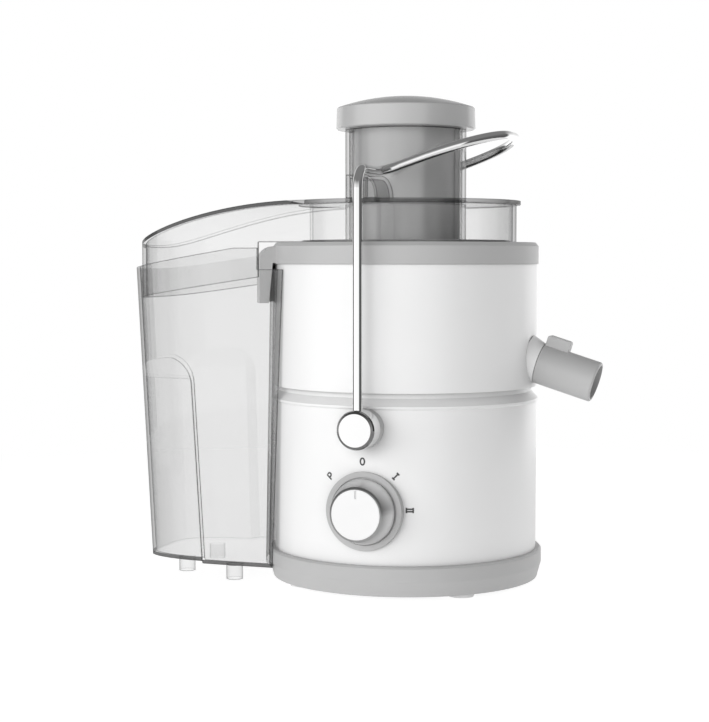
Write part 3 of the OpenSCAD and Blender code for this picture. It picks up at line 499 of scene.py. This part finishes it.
def make_world():
    """White to the camera, a soft light, and bright and dark sectors for shiny things."""
    world = bpy.data.worlds.new("studio")
    bpy.context.scene.world = world
    world.use_nodes = True
    tree = world.node_tree
    background = tree.nodes["Background"]
    background.inputs["Color"].default_value = (1, 1, 1, 1)
    direction = add_node(tree, "ShaderNodeTexCoord").outputs["Generated"]
    up = split_xyz(tree, direction)["Z"]
    raised = math_node(tree, "MULTIPLY", up, AMBIENT_RISE, clamp=True)
    soft = map_range(tree, raised, 0.0, 1.0, AMBIENT_SIDE, AMBIENT_TOP)
    overhead = math_node(tree, "MULTIPLY", up, MIRRORED_RISE, clamp=True)
    mirrored = mix_numbers(tree, overhead, mirrored_round(tree, direction), MIRRORED_TOP)
    glossy = add_node(tree, "ShaderNodeLightPath").outputs["Is Glossy Ray"]
    unseen = mix_numbers(tree, glossy, soft, mirrored)
    level = mix_numbers(tree, seen_by_camera(tree), unseen, 1.0)
    tree.links.new(level, background.inputs["Strength"])


def area_light(name, location, size, power):
    """A rectangular lamp aimed at the object, which neither shows nor mirrors."""
    data = bpy.data.lights.new(name, "AREA")
    data.shape = "RECTANGLE"
    data.size, data.size_y = size
    data.energy = power
    light = bpy.data.objects.new(name, data)
    bpy.context.scene.collection.objects.link(light)
    light.visible_camera = False
    light.visible_glossy = False
    light.location = location
    light.rotation_mode = "QUATERNION"
    light.rotation_quaternion = (Vector(LAMP_TARGET) - Vector(location)).to_track_quat("-Z", "Y")


def make_lights():
    """A broad key from the left front and a rim light from the right back, both low."""
    area_light("key", KEY_PLACE, KEY_SIZE, KEY_WATTS)
    area_light("rim", RIM_PLACE, RIM_SIZE, RIM_WATTS)


def table_material():
    """Table lit from below as for product pictures: white to the camera where nothing shades it."""
    material, tree, shader = new_material("floor")
    shader.inputs["Base Color"].default_value = (*grey(TABLE_COLOUR), 1)
    shader.inputs["Roughness"].default_value = TABLE_ROUGHNESS
    shader.inputs["Emission Color"].default_value = (1, 1, 1, 1)
    shader.inputs["Emission Strength"].default_value = TABLE_GLOW
    glow = add_node(tree, "ShaderNodeEmission", Strength=TABLE_SEEN_GLOW)
    pale = add_node(tree, "ShaderNodeBsdfDiffuse", Color=(*grey(TABLE_SEEN_COLOUR), 1))
    both = add_node(tree, "ShaderNodeAddShader")
    tree.links.new(glow.outputs[0], both.inputs[0])
    tree.links.new(pale.outputs[0], both.inputs[1])
    mix_into_output(tree, seen_by_camera(tree), shader.outputs["BSDF"], both.outputs[0])
    return material


def make_floor():
    """A round table top at the level of the object's feet."""
    mesh = bpy.data.meshes.new("floor")
    turns = [2 * math.pi * i / TABLE_SIDES for i in range(TABLE_SIDES)]
    rim = [(TABLE_RADIUS * math.cos(a), TABLE_RADIUS * math.sin(a), 0) for a in turns]
    mesh.from_pydata(rim, [], [tuple(range(TABLE_SIDES))])
    floor = bpy.data.objects.new("floor", mesh)
    bpy.context.scene.collection.objects.link(floor)
    mesh.materials.append(table_material())


def smooth_nodes():
    """Smooth shading with creases kept."""
    for node in frame["nodes"].values():
        node.data.shade_smooth()
        node.data.set_sharp_from_angle(angle=CREASE_ANGLE)


def stroke_mesh(name, strokes, width, height):
    """Flat raised strokes in the XZ plane: each stroke is a run of points widened to a ribbon."""
    verts, faces = [], []
    for points in strokes:
        closed = points[0] == points[-1]
        run = [Vector(p) for p in (points[:-1] if closed else points)]
        count = len(run)
        start = len(verts)
        for i, p in enumerate(run):
            before = run[i - 1] if i > 0 or closed else p
            after = run[(i + 1) % count] if i < count - 1 or closed else p
            along = (after - before).normalized()
            side = Vector((-along.y, along.x)) * width / 2
            for q in (p - side, p + side):
                verts += [(q.x, 0, q.y), (q.x, -height, q.y)]
        for i in range(count if closed else count - 1):
            a, b = start + 4 * i, start + 4 * ((i + 1) % count)
            faces += [(a + j, a + k, b + k, b + j) for j, k in ((0, 1), (1, 3), (3, 2), (2, 0))]
        if not closed:
            end = start + 4 * (count - 1)
            faces += [(start, start + 2, start + 3, start + 1), (end, end + 1, end + 3, end + 2)]
    mesh = bpy.data.meshes.new(name)
    mesh.from_pydata(verts, [], faces)
    mesh.update()
    return mesh


def mark_strokes():
    """The strokes of P, 0, I and II, each round its own middle."""
    h, w = MARK_HEIGHT, MARK_WIDTH
    turns = [math.radians(90 - 22.5 * i) for i in range(9)]
    bowl = [(w * 0.1 + w * 0.42 * math.cos(a), h * 0.22 + h * 0.28 * math.sin(a)) for a in turns]
    turns = [math.radians(20 * i) for i in range(18)]
    oval = [(w / 2 * math.cos(a), h / 2 * math.sin(a)) for a in turns]
    ends = (-h / 2, h / 2)
    return {
        "mark_p": [[(-w * 0.4, -h / 2), (-w * 0.4, h / 2), *bowl, (-w * 0.4, -h * 0.06)]],
        "mark_zero": [[*oval, oval[0]]],
        "mark_one": [[(0, -h / 2), (0, h / 2)], *([(-w * 0.4, y), (w * 0.4, y)] for y in ends)],
        "mark_two": [*([(x, -h / 2), (x, h / 2)] for x in (-w * 0.28, w * 0.28)),
                     *([(-w * 0.6, y), (w * 0.6, y)] for y in ends)],
    }


def make_dial_marks():
    """The printed positions round the knob, wrapped on the housing."""
    low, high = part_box("dial_bezel")
    centre_z = (low.z + high.z) / 2
    body_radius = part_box("collector_shell")[1].x
    ink = moulded("dial_ink", grey(0.05), grey(0.07), 0.5, edge=0.0)
    for name, strokes in mark_strokes().items():
        mesh = stroke_mesh(name, strokes, MARK_STROKE, MARK_RELIEF)
        turned = Matrix.Rotation(math.radians(-MARK_ANGLES[name]), 4, "Y")
        for v in mesh.vertices:
            p = turned @ (v.co + Vector((0, 0, MARK_RING)))
            out = body_radius - v.co.y + MARK_LIFT
            around = (p.x + MARK_ASIDE) / body_radius
            v.co = (out * math.sin(around), -out * math.cos(around), centre_z + MARK_ABOVE + p.z)
        mark = bpy.data.objects.new(name, mesh)
        bpy.context.scene.collection.objects.link(mark)
        mesh.materials.append(ink)
        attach(mark, "root")


make_camera()
smooth_nodes()
dress_nodes()
make_dial_marks()
make_world()
make_lights()
make_floor()
bpy.context.scene.view_settings.view_transform = "Standard"
